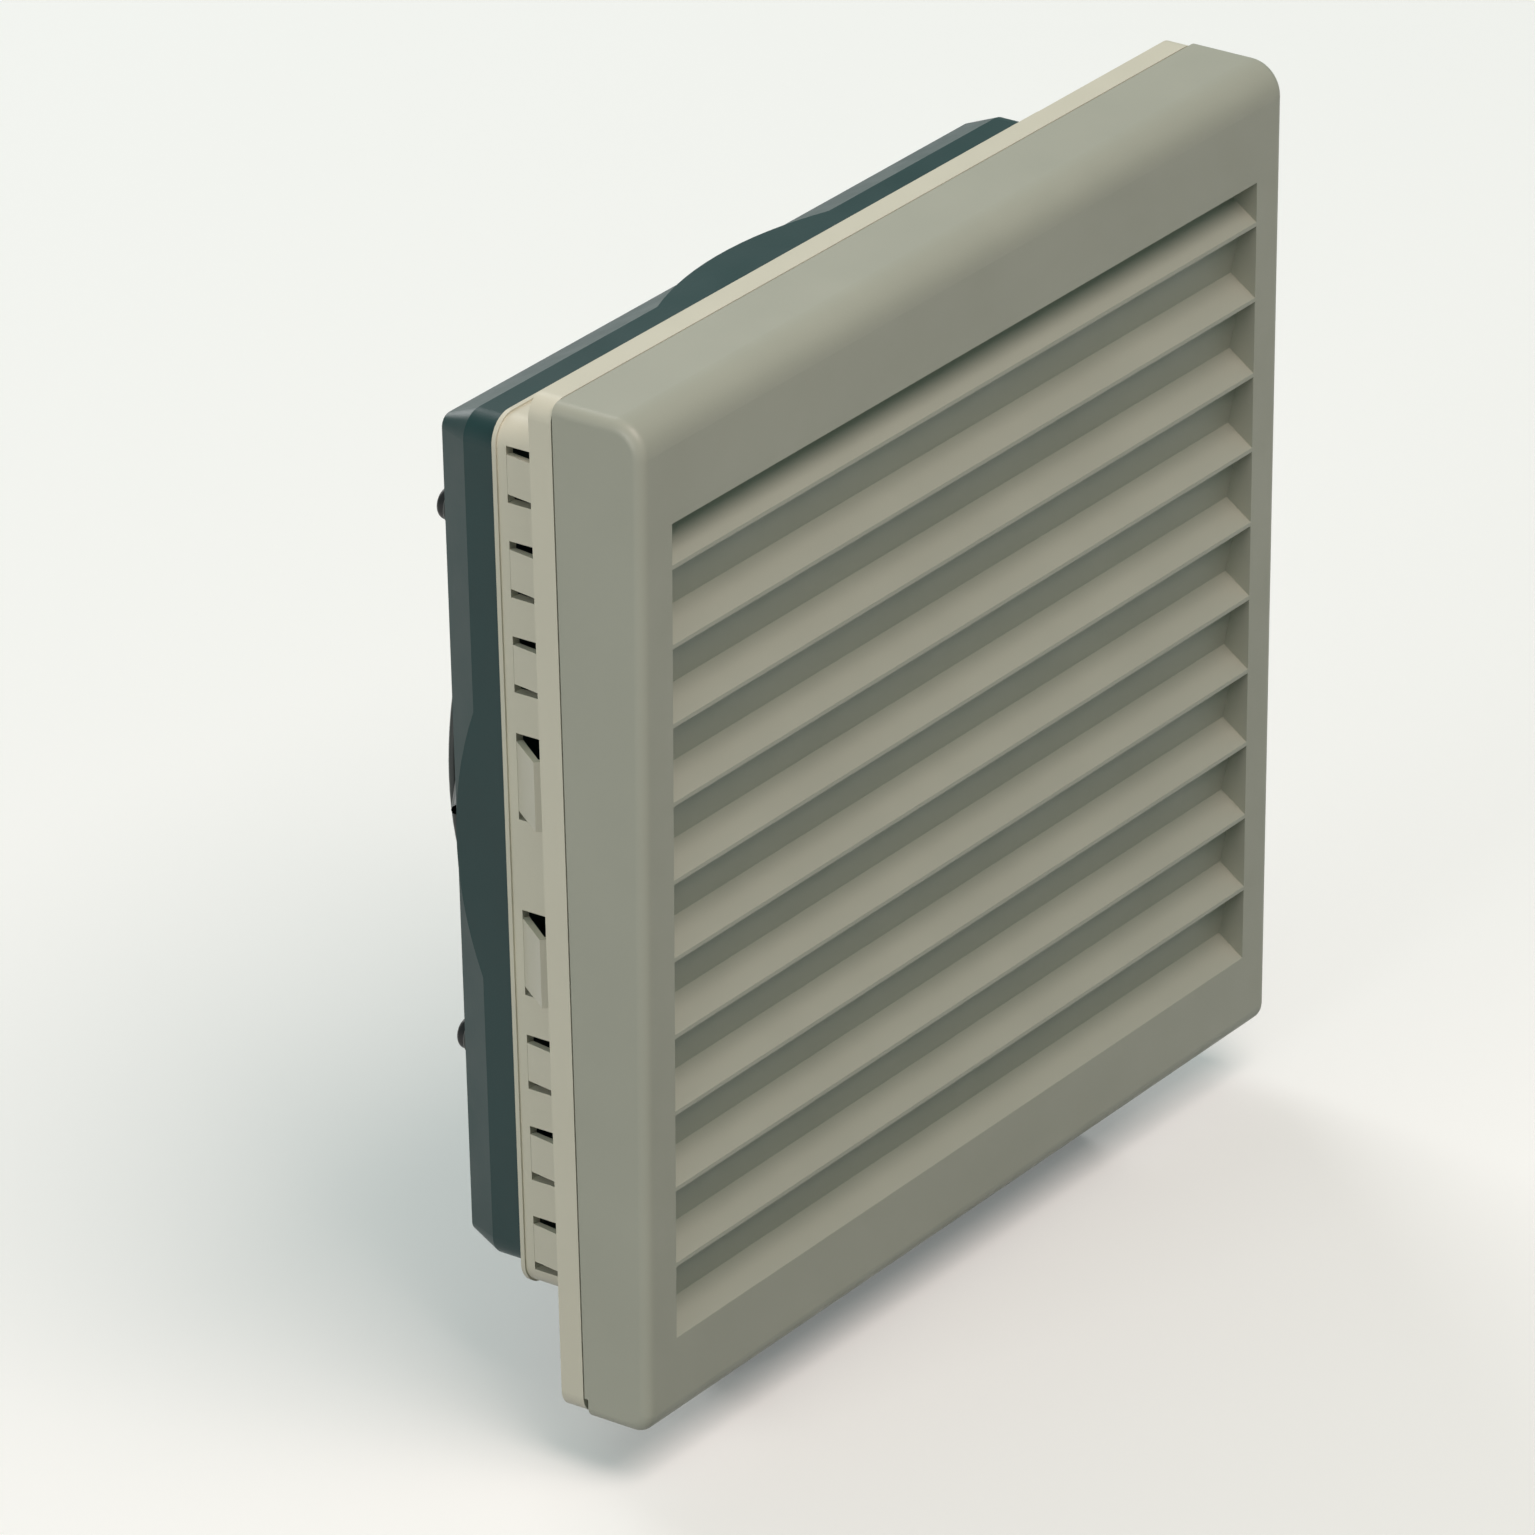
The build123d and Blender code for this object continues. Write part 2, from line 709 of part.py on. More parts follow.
# Finger guard: flat rings on radial wires that end in eyelets, and a sloping rim
# whose four wires stand on the duct's edge.
foot_r = duct_r + duct_wall / 2
foot_y = duct_rear_y + seat_gap + wire_r
slope_r = foot_r - guard_rings[-1]
slope_y = foot_y - guard_y
slope_len = hypot(slope_r, slope_y)
with BuildPart() as finger_guard:
    for ring_r in guard_rings:
        with BuildSketch(Plane.XY):
            with Locations((ring_r, guard_y + ring_lift * wire_r)):
                RegularPolygon(wire_r, 8)
        revolve(axis=Axis.Y)
    # ring half way down the slope, on its inner side
    with BuildSketch(Plane.XY):
        inner_r = guard_rings[-1] + slope_r / 2 + ring_lift * wire_r * slope_y / slope_len
        inner_y = guard_y + slope_y / 2 - ring_lift * wire_r * slope_r / slope_len
        with Locations((inner_r, inner_y)):
            RegularPolygon(wire_r, 8)
    revolve(axis=Axis.Y)
    for sx, sz in corners:
        outward = (sx * post_x, 0, sz * post_z)
        with BuildSketch(Plane(origin=(0, guard_y, 0), x_dir=(0, 1, 0), z_dir=outward)):
            RegularPolygon(wire_r, 8)
        extrude(amount=post_at - eyelet_r + weld_lap)
        with BuildSketch(facing(guard_y - wire_r)):
            with Locations((sx * post_x, sz * post_z)):
                Circle(eyelet_r)
                Circle(screw_r + eyelet_play, mode=Mode.SUBTRACT)
        extrude(amount=-2 * wire_r)
    for dx, dz in ((1, 0), (0, 1), (-1, 0), (0, -1)):
        with BuildSketch(Plane(origin=(0, guard_y, 0), x_dir=(0, 1, 0), z_dir=(dx, 0, dz))):
            RegularPolygon(wire_r, 8)
        extrude(amount=guard_rings[-1] + weld_lap)
        top = (dx * guard_rings[-1], guard_y, dz * guard_rings[-1])
        down = (dx * slope_r, slope_y, dz * slope_r)
        with BuildSketch(Plane(origin=top, x_dir=(-dz, 0, dx), z_dir=down)):
            RegularPolygon(wire_r, 8)
        extrude(amount=slope_len)

finger_guard.part.label = "finger_guard"
export_step(finger_guard.part, "parts/finger_guard.step")

# Bearing tube, held in the motor plate, with a shoulder between the bearings.
front_bearing_y = tube_front_y + tube_lead_in
rear_bearing_y = housing_rear_y - tube_cap - spring_t - clip_t - end_play - bearing_w
shaft_rear_y = rear_bearing_y + bearing_w + clip_t + shaft_tail
with BuildPart() as bearing_tube:
    with BuildSketch(Plane.XY):
        with BuildLine():
            Polyline(
                (0, housing_rear_y - tube_cap),
                (0, housing_rear_y),
                (tube_r, housing_rear_y),
                (tube_r, tube_front_y),
                (tube_bore_r, tube_front_y),
                (tube_bore_r, front_bearing_y + bearing_w + spring_t),
                (tube_bore_r - shoulder_h, front_bearing_y + bearing_w + spring_t),
                (tube_bore_r - shoulder_h, rear_bearing_y),
                (tube_bore_r, rear_bearing_y),
                (tube_bore_r, housing_rear_y - tube_cap),
                close=True,
            )
        make_face()
    revolve(axis=Axis.Y)

bearing_tube.part.label = "bearing_tube"
export_step(bearing_tube.part, "parts/bearing_tube.step")


def ball_bearing(front_y):
    # Both rings and the shield between them, as one plain solid with grooved faces.
    with BuildPart() as bearing:
        with BuildSketch(facing(front_y)):
            Circle(tube_bore_r)
            Circle(bearing_bore_r, mode=Mode.SUBTRACT)
        extrude(amount=-bearing_w)
        for groove_y in (front_y, front_y + bearing_w - shield_depth):
            with BuildSketch(facing(groove_y)):
                Circle(tube_bore_r - race_t)
                Circle(bearing_bore_r + race_t, mode=Mode.SUBTRACT)
            extrude(amount=-shield_depth, mode=Mode.SUBTRACT)
    return bearing.part


bearing_front = ball_bearing(front_bearing_y)
bearing_front.label = "bearing_front"
export_step(bearing_front, "parts/bearing_front.step")
bearing_rear = ball_bearing(rear_bearing_y)
bearing_rear.label = "bearing_rear"
export_step(bearing_rear, "parts/bearing_rear.step")

# Preload spring between the front bearing and the tube's shoulder.
with BuildPart() as preload_spring:
    with BuildSketch(facing(front_bearing_y + bearing_w)):
        Circle(tube_bore_r - spring_play)
        Circle(tube_bore_r - spring_play - spring_w, mode=Mode.SUBTRACT)
    extrude(amount=-spring_t)

preload_spring.part.label = "preload_spring"
export_step(preload_spring.part, "parts/preload_spring.step")

# Stator: core with poles, insulator and coils.
ring_inner_r = hub_r - hub_wall - ring_t
cage_inner_r = ring_inner_r - cage_t
core_r = cage_inner_r - air_gap
with BuildPart() as stator_core:
    with BuildSketch(facing(core_front_y)):
        Circle(yoke_r)
        for i in range(pole_count):
            with Locations(Location((0, 0, 0), (0, 0, pole_start + 360 / pole_count * i))):
                with Locations(((yoke_r + core_r) / 2 - pole_trim, 0)):
                    Rectangle(core_r - yoke_r, pole_neck_w)
        with BuildSketch(mode=Mode.PRIVATE) as shoes:
            Circle(core_r)
            Circle(core_r - pole_shoe_t, mode=Mode.SUBTRACT)
            for i in range(pole_count):
                with Locations(Location((0, 0, 0), (0, 0, pole_start + 360 / pole_count * (i + 0.5)))):
                    with Locations((core_r - pole_shoe_t / 2, 0)):
                        Rectangle(2 * pole_shoe_t, pole_slot, mode=Mode.SUBTRACT)
        add(shoes.sketch)
        Circle(tube_r, mode=Mode.SUBTRACT)
    extrude(amount=-core_depth)

stator_core.part.label = "stator_core"
export_step(stator_core.part, "parts/stator_core.step")

with BuildPart() as coil_former:
    for former_y in (core_front_y - former_t, core_front_y + core_depth):
        with BuildSketch(facing(former_y)):
            Circle(yoke_r)
            for i in range(pole_count):
                with Locations(Location((0, 0, 0), (0, 0, pole_start + 360 / pole_count * i))):
                    with Locations(((yoke_r + core_r) / 2 - pole_trim, 0)):
                        Rectangle(core_r - yoke_r, pole_neck_w)
            Circle(tube_r, mode=Mode.SUBTRACT)
        extrude(amount=-former_t)

coil_former.part.label = "coil_former"
export_step(coil_former.part, "parts/coil_former.step")

coil_in = yoke_r + coil_play
coil_out = core_r - pole_shoe_t - coil_tip_play
coil_front_y = core_front_y - former_t
coil_len = core_depth + 2 * former_t
with BuildPart() as coil:
    with Locations(((coil_in + coil_out) / 2, coil_front_y + coil_len / 2, 0)):
        Box(coil_out - coil_in, coil_len + 2 * coil_end, pole_neck_w + 2 * coil_side_t)
        fillet(coil.edges().filter_by(Axis.X), coil_round)
        Box(coil_out - coil_in + lap, coil_len, pole_neck_w, mode=Mode.SUBTRACT)
coil_angles = [pole_start + 360 / pole_count * i for i in range(pole_count)]
write_group("stator_coils", [turned(coil.part, angle) for angle in coil_angles])

# Rotor: shaft with its circlip, bush, flux ring and cage.
shaft_r = bearing_bore_r - shaft_fit
with BuildPart() as rotor_shaft:
    with BuildSketch(facing(hub_front_y)):
        Circle(shaft_r)
    extrude(amount=-(shaft_rear_y - hub_front_y))
    with BuildSketch(facing(rear_bearing_y + bearing_w + seat_gap)):
        Circle(shaft_r)
        Circle(shaft_r - clip_bite, mode=Mode.SUBTRACT)
    extrude(amount=-clip_t, mode=Mode.SUBTRACT)
    chamfer(rotor_shaft.edges().filter_by(GeomType.CIRCLE).sort_by(Axis.Y)[-1], shaft_edge)

rotor_shaft.part.label = "rotor_shaft"
export_step(rotor_shaft.part, "parts/rotor_shaft.step")

with BuildPart() as shaft_circlip:
    with BuildSketch(facing(rear_bearing_y + bearing_w + seat_gap)):
        Circle(shaft_r + clip_w)
        Circle(shaft_r - clip_bite, mode=Mode.SUBTRACT)
        with Locations((0, shaft_r)):
            Rectangle(clip_mouth, shaft_r * 2, mode=Mode.SUBTRACT)
    extrude(amount=-clip_t)

shaft_circlip.part.label = "shaft_circlip"
export_step(shaft_circlip.part, "parts/shaft_circlip.step")

with BuildPart() as rotor_bush:
    with BuildSketch(facing(hub_front_y)):
        Circle(bush_r)
        Circle(shaft_r, mode=Mode.SUBTRACT)
    extrude(amount=-bush_len)

rotor_bush.part.label = "rotor_bush"
export_step(rotor_bush.part, "parts/rotor_bush.step")

hub_rear_y = hub_front_y + hub_depth
with BuildPart() as rotor_ring:
    with BuildSketch(facing(ring_front_y)):
        Circle(hub_r - hub_wall)
        Circle(ring_inner_r, mode=Mode.SUBTRACT)
    extrude(amount=-(hub_rear_y - ring_front_y))

rotor_ring.part.label = "rotor_ring"
export_step(rotor_ring.part, "parts/rotor_ring.step")

with BuildPart() as rotor_cage:
    with BuildSketch(facing(core_front_y - cage_over)):
        Circle(ring_inner_r)
        Circle(cage_inner_r, mode=Mode.SUBTRACT)
        for i in range(cage_bars):
            with Locations(Location((0, 0, 0), (0, 0, 360 / cage_bars * i))):
                with Locations((ring_inner_r - cage_t / 2, 0)):
                    Rectangle(cage_t / 2, bar_slot_w, mode=Mode.SUBTRACT)
    extrude(amount=-(core_depth + 2 * cage_over))

rotor_cage.part.label = "rotor_cage"
export_step(rotor_cage.part, "parts/rotor_cage.step")

# Impeller: hub cup and lofted blades, trimmed to the duct.
blade_mid_y = hub_front_y + hub_depth / 2
tip_r = duct_r - tip_gap


def blade_section(radius):
    # Cambered section: local x is the depth and local y runs round the fan.
    share = (radius - hub_r) / (tip_r - hub_r)
    chord = root_chord + (tip_chord - root_chord) * share
    pitch = radians(root_pitch + (tip_pitch - root_pitch) * share)
    lead = (sin(pitch) * chord / 2, cos(pitch) * chord / 2)
    across = (cos(pitch), -sin(pitch))
    upper = blade_camber + fan_blade_t / 2
    lower = blade_camber - fan_blade_t / 2
    return lead, across, upper, lower


with BuildPart() as fan_blade:
    for radius in (hub_r - blade_sink, (hub_r + tip_r) / 2, tip_r + blade_trim):
        lead, across, upper, lower = blade_section(radius)
        front = (-lead[0], -lead[1])
        station = Plane(origin=(radius, blade_mid_y, 0), x_dir=(0, 1, 0), z_dir=(1, 0, 0))
        with BuildSketch(station):
            with BuildLine():
                ThreePointArc(front, (across[0] * upper, across[1] * upper), lead)
                ThreePointArc(lead, (across[0] * lower, across[1] * lower), front)
            make_face()
    loft()

with BuildPart() as impeller:
    with BuildSketch(Plane.XY):
        with BuildLine():
            Polyline(
                (bush_r, hub_front_y),
                (hub_r, hub_front_y),
                (hub_r, hub_rear_y),
                (hub_r - hub_wall, hub_rear_y),
                (hub_r - hub_wall, hub_front_y + hub_wall),
                (bush_r + bush_wall, hub_front_y + hub_wall),
                (bush_r + bush_wall, hub_front_y + bush_len),
                (bush_r, hub_front_y + bush_len),
                close=True,
            )
        make_face()
    revolve(axis=Axis.Y)
    front_rims = impeller.edges().filter_by(GeomType.CIRCLE).group_by(Axis.Y)[0]
    fillet(front_rims.sort_by(SortBy.RADIUS)[-1], hub_round)
    for i in range(fan_blades):
        add(turned(fan_blade.part, 360 / fan_blades * i))
    with BuildSketch(facing(hub_front_y - beyond)):
        Circle(tip_r + beyond)
        Circle(tip_r, mode=Mode.SUBTRACT)
    extrude(amount=-(hub_depth + 2 * beyond), mode=Mode.SUBTRACT)

impeller.part.label = "impeller"
export_step(impeller.part, "parts/impeller.step")

# Terminal block on the web, with its screws and the earth tab.
block_rear_y = web_rear_y + block_depth
pole_xs = [block_x + pole_spacing * i for i in (-1, 0, 1)]
with BuildPart() as terminal_block:
    with Locations((block_x, web_rear_y + block_depth / 2, block_z)):
        Box(block_w, block_depth, block_h)
    chamfer(terminal_block.edges().group_by(Axis.Y)[-1].filter_by(Axis.X), block_edge)
    for pole_x in pole_xs:
        # screw well from the rear, wire entry from below
        with BuildSketch(facing(block_rear_y - well_depth)):
            with Locations((pole_x, block_z)):
                Circle(well_r)
        extrude(amount=-well_depth, mode=Mode.SUBTRACT)
        with BuildSketch(Plane.XY.offset(block_z - block_h / 2)):
            with Locations((pole_x, web_rear_y + entry_y)):
                Rectangle(entry_w, entry_depth)
        extrude(amount=entry_reach, mode=Mode.SUBTRACT)

terminal_block.part.label = "terminal_block"
export_step(terminal_block.part, "parts/terminal_block.step")


def slotted_screw(x):
    with BuildPart() as screw:
        with BuildSketch(facing(block_rear_y - well_depth)):
            with Locations((x, block_z)):
                Circle(clamp_r)
        extrude(amount=-clamp_h)
        with BuildSketch(facing(block_rear_y - well_depth + clamp_h - clamp_slot_depth)):
            with Locations((x, block_z)):
                Rectangle(3 * clamp_r, clamp_slot_w)
        extrude(amount=-clamp_slot_depth, mode=Mode.SUBTRACT)
    return screw.part


write_group("terminal_screws", [slotted_screw(x) for x in pole_xs])

earth_x = block_x - block_w / 2 - earth_offset
with BuildPart() as earth_tab:
    with BuildSketch(facing(web_rear_y)):
        with Locations((earth_x, block_z)):
            Rectangle(earth_foot, earth_foot)
    extrude(amount=-earth_t)
    with BuildSketch(facing(web_rear_y)):
        with Locations((earth_x, block_z - (earth_foot - earth_t) / 2)):
            Rectangle(earth_blade_w, earth_t)
    extrude(amount=-earth_blade_h)

earth_tab.part.label = "earth_tab"
export_step(earth_tab.part, "parts/earth_tab.step")

# Motor leads: along the lower right spoke from the coils to the terminal block.
lead_y = housing_rear_y + lead_r + lead_lift
lead_in = lead_hole_at * sqrt(0.5)
coil_rear_y = coil_front_y + coil_len + coil_end
leads = []
for offset in (-lead_spacing, lead_spacing):
    shift = offset * sqrt(0.5)
    start = (lead_in + shift, coil_rear_y + seat_gap, -lead_in + shift)
    turn = (lead_in + shift, lead_y, -lead_in + shift)
    corner = (lead_turn_at + shift, lead_y, -lead_turn_at + shift)
    end = (lead_turn_at + shift, lead_y, block_z + block_h / 2 + seat_gap)
    with BuildPart() as lead:
        with BuildLine() as route:
            FilletPolyline(start, turn, corner, end, radius=lead_arc_r)
        with BuildSketch(Plane(origin=start, x_dir=(1, 0, 0), z_dir=(0, 1, 0))):
            Circle(lead_r)
        sweep(path=route.line)
    leads.append(lead.part)
write_group("motor_leads", leads)

# Filter mat, a soft fleece block that lies on the grid inside the rim.
mat_size = chamber - 2 * mat_side_gap
with BuildPart() as filter_mat:
    with BuildSketch(facing(-grid_t - face_gap - mat_t)):
        RectangleRounded(mat_size, mat_size, chamber_r)
    extrude(amount=-mat_t)

filter_mat.part.label = "filter_mat"
export_step(filter_mat.part, "parts/filter_mat.step")
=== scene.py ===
import math

import bmesh
import bpy
from mathutils import Matrix, Vector, noise


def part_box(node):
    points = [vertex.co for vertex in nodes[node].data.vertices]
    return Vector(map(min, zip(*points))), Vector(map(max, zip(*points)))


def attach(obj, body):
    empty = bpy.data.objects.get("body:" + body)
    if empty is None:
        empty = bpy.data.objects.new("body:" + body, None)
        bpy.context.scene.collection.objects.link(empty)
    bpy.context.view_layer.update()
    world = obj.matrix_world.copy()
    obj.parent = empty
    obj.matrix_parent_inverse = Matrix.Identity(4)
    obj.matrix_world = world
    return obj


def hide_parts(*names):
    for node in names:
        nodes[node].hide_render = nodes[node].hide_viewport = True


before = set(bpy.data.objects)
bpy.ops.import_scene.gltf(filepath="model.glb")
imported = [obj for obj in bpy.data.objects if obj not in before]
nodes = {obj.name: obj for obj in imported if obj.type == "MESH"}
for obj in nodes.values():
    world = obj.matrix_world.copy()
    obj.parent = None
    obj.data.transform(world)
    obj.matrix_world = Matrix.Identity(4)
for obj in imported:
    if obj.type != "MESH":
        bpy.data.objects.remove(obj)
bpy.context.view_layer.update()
mm = 0.001


def linear(code):
    # sRGB hex to linear red, green, blue and alpha
    parts = [int(code[i:i + 2], 16) / 255 for i in (0, 2, 4)]
    return [c / 12.92 if c <= 0.04045 else ((c + 0.055) / 1.055) ** 2.4 for c in parts] + [1]


def feed(tree, node, values):
    # links what comes from another node, and sets a constant on the node's own socket
    for name, value in values.items():
        if isinstance(value, bpy.types.NodeSocket):
            tree.links.new(value, node.inputs[name])
        else:
            node.inputs[name].default_value = value


def addNode(tree, kind, values=None, **settings):
    node = tree.nodes.new(kind)
    for name, value in settings.items():
        setattr(node, name, value)
    feed(tree, node, values or {})
    return node


def startMaterial(name):
    material = bpy.data.materials.new(name)
    material.use_nodes = True
    tree = material.node_tree
    shader = tree.nodes["Principled BSDF"]
    place = addNode(tree, "ShaderNodeTexCoord").outputs["Object"]
    return material, tree, shader, place


def patchy(tree, place, size, low, high):
    # a value that wanders between low and high over patches of that size; nearly all of a
    # noise's values lie between 0.3 and 0.7
    cloud = addNode(tree, "ShaderNodeTexNoise", {"Vector": place, "Scale": 1 / size, "Detail": 3})
    return addNode(tree, "ShaderNodeMapRange", {
        "Value": cloud.outputs["Fac"], "From Min": 0.3, "From Max": 0.7, "To Min": low, "To Max": high,
    }).outputs["Result"]


def patchyColour(tree, place, colour, size, low, high):
    # the colour, a little darker and lighter over patches of that size
    return addNode(tree, "ShaderNodeVectorMath", {
        0: linear(colour)[:3], "Scale": patchy(tree, place, size, low, high),
    }, operation="SCALE").outputs["Vector"]


# flow marks, patches of gloss and a slow change of colour, as injection moulding leaves them
moulding = {"flow": 18 * mm, "flowDepth": 0.06 * mm, "gloss": 9 * mm, "glossRange": 0.05,
            "patch": 35 * mm}


def mouldedPlastic(name, colour, rough, grain=0.5 * mm, depth=0.02 * mm, drift=0.03, specular=0.5):
    # a spark-eroded tool's texture breaks the sheen: its real grain is near 0.1 mm, and it is
    # drawn coarser so that it shows
    material, tree, shader, place = startMaterial(name)
    texture = addNode(tree, "ShaderNodeTexNoise", {"Vector": place, "Scale": 1 / grain, "Detail": 2})
    flow = addNode(tree, "ShaderNodeTexNoise", {
        "Vector": place, "Scale": 1 / moulding["flow"], "Detail": 1})
    waves = addNode(tree, "ShaderNodeBump", {
        "Height": flow.outputs["Fac"], "Distance": moulding["flowDepth"], "Strength": 0.5})
    skin = addNode(tree, "ShaderNodeBump", {
        "Height": texture.outputs["Fac"], "Distance": depth, "Strength": 0.6,
        "Normal": waves.outputs["Normal"]})
    feed(tree, shader, {
        "Base Color": patchyColour(tree, place, colour, moulding["patch"], 1 - drift, 1 + drift),
        "Roughness": patchy(tree, place, moulding["gloss"],
                            rough - moulding["glossRange"], rough + moulding["glossRange"]),
        "Normal": skin.outputs["Normal"], "Specular IOR Level": specular})
    return material


# where the polish and the colour of bare metal change
polish = {"patch": 2 * mm, "stain": 4 * mm}


def toolMarkedMetal(name, colour, rough, stretch=(1, 12, 1), line=0.25 * mm, depth=0.006 * mm,
                    metallic=1.0):
    # tool lines along one direction under an uneven polish: real ones are near 0.05 mm apart, and
    # they are drawn coarser so that they show
    material, tree, shader, place = startMaterial(name)
    along = addNode(tree, "ShaderNodeMapping", {"Vector": place, "Scale": stretch})
    lines = addNode(tree, "ShaderNodeTexNoise", {
        "Vector": along.outputs["Vector"], "Scale": 1 / line, "Detail": 2})
    grooves = addNode(tree, "ShaderNodeBump", {
        "Height": lines.outputs["Fac"], "Distance": depth, "Strength": 0.6})
    feed(tree, shader, {
        "Base Color": patchyColour(tree, place, colour, polish["stain"], 0.92, 1.05),
        "Roughness": patchy(tree, place, polish["patch"], rough - 0.06, rough + 0.08),
        "Normal": grooves.outputs["Normal"], "Metallic": metallic})
    return material


powder = {"peel": 0.9 * mm, "depth": 0.02 * mm, "gloss": 3 * mm, "patch": 6 * mm}


def powderCoat(name, colour):
    # baked powder on steel wire: a fine orange peel with a soft sheen and no bare metal
    material, tree, shader, place = startMaterial(name)
    peel = addNode(tree, "ShaderNodeTexNoise", {
        "Vector": place, "Scale": 1 / powder["peel"], "Detail": 1})
    skin = addNode(tree, "ShaderNodeBump", {
        "Height": peel.outputs["Fac"], "Distance": powder["depth"], "Strength": 0.7})
    feed(tree, shader, {
        "Base Color": patchyColour(tree, place, colour, powder["patch"], 0.92, 1.06),
        "Roughness": patchy(tree, place, powder["gloss"], 0.4, 0.5),
        "Normal": skin.outputs["Normal"]})
    return material


foam = {"pore": 0.7 * mm, "depth": 0.12 * mm, "patch": 3 * mm}


def foamRubber(name, colour):
    # closed-cell foam: round pores in a dull skin
    material, tree, shader, place = startMaterial(name)
    pores = addNode(tree, "ShaderNodeTexVoronoi", {
        "Vector": place, "Scale": 1 / foam["pore"]}, feature="F1")
    skin = addNode(tree, "ShaderNodeBump", {
        "Height": pores.outputs["Distance"], "Distance": foam["depth"], "Strength": 0.8})
    feed(tree, shader, {
        "Base Color": patchyColour(tree, place, colour, foam["patch"], 0.8, 1.15),
        "Normal": skin.outputs["Normal"], "Roughness": 0.85})
    return material


# drawn about ten times as thick as real fibres, so that they show
fibres = {"ways": 5, "length": 5 * mm, "thickness": 0.45 * mm, "depth": 0.35 * mm, "curl": 1.4,
          "skew": 0.25, "tilt": 0.2, "lump": 6 * mm, "lumpDepth": 0.9 * mm}


def needledFleece(name, colour):
    # needled polyester fleece: crossed fibres, soft hollows, painted shade in the gaps between the
    # fibres and a faint grey drift
    material, tree, shader, place = startMaterial(name)
    web = None
    for i in range(fibres["ways"]):
        turn = math.pi * i / fibres["ways"] + fibres["skew"] * (i % 2)
        lie = addNode(tree, "ShaderNodeMapping", {
            "Vector": place, "Rotation": (fibres["tilt"], turn, 0),
            "Scale": (1, 1, fibres["length"] / fibres["thickness"])})
        strands = addNode(tree, "ShaderNodeTexNoise", {
            "Vector": lie.outputs["Vector"], "Scale": 1 / fibres["length"], "Detail": 2,
            "Distortion": fibres["curl"]}).outputs["Fac"]
        if web is None:
            web = strands
        else:
            web = addNode(tree, "ShaderNodeMath", {
                0: web, 1: strands}, operation="MAXIMUM").outputs[0]
    lumps = addNode(tree, "ShaderNodeTexNoise", {
        "Vector": place, "Scale": 1 / fibres["lump"], "Detail": 2})
    padding = addNode(tree, "ShaderNodeBump", {
        "Height": lumps.outputs["Fac"], "Distance": fibres["lumpDepth"], "Strength": 0.8})
    tangle = addNode(tree, "ShaderNodeBump", {
        "Height": web, "Distance": fibres["depth"], "Strength": 0.9,
        "Normal": padding.outputs["Normal"]})
    # painted shade: the gaps between the fibres are drawn darker than the fibres on top, as if the
    # fibres above shaded them
    fibreShade = addNode(tree, "ShaderNodeMapRange", {
        "Value": web, "From Min": 0.52, "From Max": 0.72, "To Min": 0.8, "To Max": 1.04,
    }).outputs["Result"]
    # the painted fibre shade times a slow drift of tone over patches the size of the lumps
    fibreShadeAndDrift = addNode(tree, "ShaderNodeMath", {
        0: fibreShade, 1: patchy(tree, place, fibres["lump"], 0.93, 1.04),
    }, operation="MULTIPLY").outputs[0]
    tone = addNode(tree, "ShaderNodeVectorMath", {
        0: linear(colour)[:3], "Scale": fibreShadeAndDrift}, operation="SCALE")
    feed(tree, shader, {
        "Base Color": tone.outputs["Vector"], "Normal": tangle.outputs["Normal"],
        "Roughness": 0.95, "Sheen Weight": 0.3, "Sheen Roughness": 0.6})
    return material


# a wave node's bands lie pi / 10 of its size apart, so the 0.3 mm wire is drawn about four times
# as coarse, so that its turns show
winding = {"wave": 4 * mm, "wander": 0.4, "depth": 0.1 * mm, "patch": 2 * mm}


def woundWire(name, colour):
    # enamelled copper wire: fine turns side by side under a clear varnish
    material, tree, shader, place = startMaterial(name)
    turns = addNode(tree, "ShaderNodeTexWave", {
        "Vector": place, "Scale": 1 / winding["wave"], "Distortion": winding["wander"],
    }, bands_direction="Y")
    ridges = addNode(tree, "ShaderNodeBump", {
        "Height": turns.outputs["Fac"], "Distance": winding["depth"], "Strength": 0.8})
    feed(tree, shader, {
        "Base Color": patchyColour(tree, place, colour, winding["patch"], 0.8, 1.1),
        "Normal": ridges.outputs["Normal"], "Metallic": 0.7, "Roughness": 0.3, "Coat Weight": 0.5})
    return material


# moulded ABS of the cover and the frame: matt and finely grained, the frame's a little smoother
coverAbs = mouldedPlastic("mouldedGreyAbs", "a8a99b", rough=0.45)
frameAbs = mouldedPlastic("mouldedCreamAbs", "d3cfbd", rough=0.4, grain=0.8 * mm, depth=0.01 * mm,
                          drift=0.02)
# moulded ABS of the housing: dark blue-green with a dull gloss
housingAbs = mouldedPlastic("mouldedDarkAbs", "1c3a3b", rough=0.36, grain=0.35 * mm, drift=0.08,
                            specular=0.36)
# moulded glass-filled polyester of the duct and the blades: nearly black, the blades smoother
ductPolyester = mouldedPlastic("mouldedDuctPolyester", "1e2a2a", rough=0.42, grain=0.4 * mm,
                               drift=0.06)
bladePolyester = mouldedPlastic("mouldedBladePolyester", "1d2222", rough=0.36, grain=0.6 * mm,
                                depth=0.008 * mm)
# moulded polyamide of the terminal block: pale and almost smooth
blockPolyamide = mouldedPlastic("mouldedPolyamide", "d9d6c8", rough=0.35, grain=0.6 * mm,
                                depth=0.006 * mm)
# moulded polyester of the coil former: warm and half matt
formerPolyester = mouldedPlastic("mouldedFormerPolyester", "d8cfae", rough=0.4)
# drawn vinyl round the leads: black and dull
leadVinyl = mouldedPlastic("drawnVinyl", "1c1c1e", rough=0.5, grain=0.25 * mm, depth=0.01 * mm)
# foamed rubber of the seal: dark with round pores
sealFoam = foamRubber("foamedRubber", "2a2a2a")
